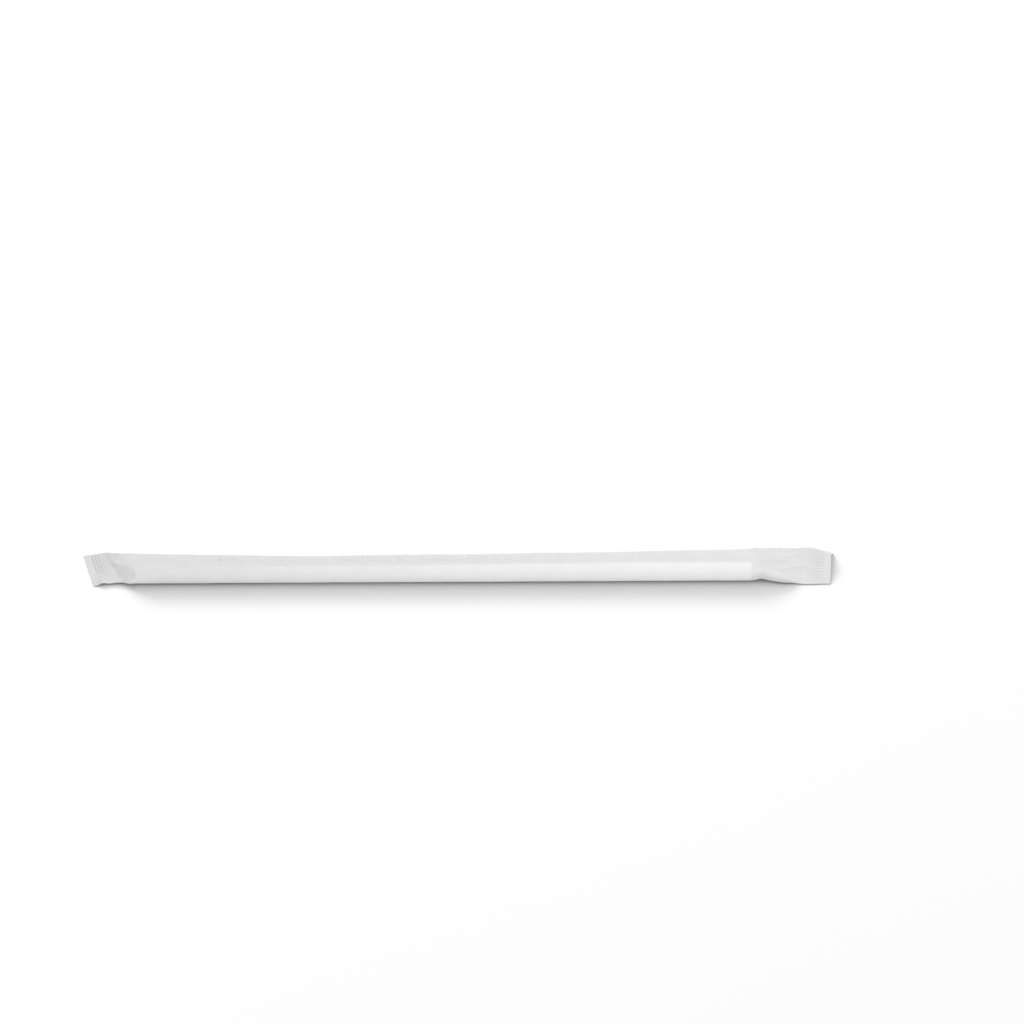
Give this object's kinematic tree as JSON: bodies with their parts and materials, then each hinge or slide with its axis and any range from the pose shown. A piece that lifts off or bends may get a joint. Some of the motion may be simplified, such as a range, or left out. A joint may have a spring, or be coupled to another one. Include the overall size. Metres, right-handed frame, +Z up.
{
  "type": "wrapped drinking straw",
  "caption": "Plain white drinking straw lying loose in a sealed white paper sleeve with a knurled side seam and flat knurled end seals.",
  "frame": {"origin": "below the middle of the whole, on the surface that it lies on", "axes": "+X along the straw, towards the end with the longer empty flap; +Y across it, towards the side seam; +Z up"},
  "size_m": [0.2396, 0.0166, 0.0064],
  "materials": {
    "wrapper_paper": "thin uncoated white paper, matt, slightly see-through",
    "straw_plastic": "smooth white plastic"
  },
  "bodies": {
    "root": {"wrapper": "wrapper_paper", "straw": "straw_plastic"}
  },
  "joints": []
}
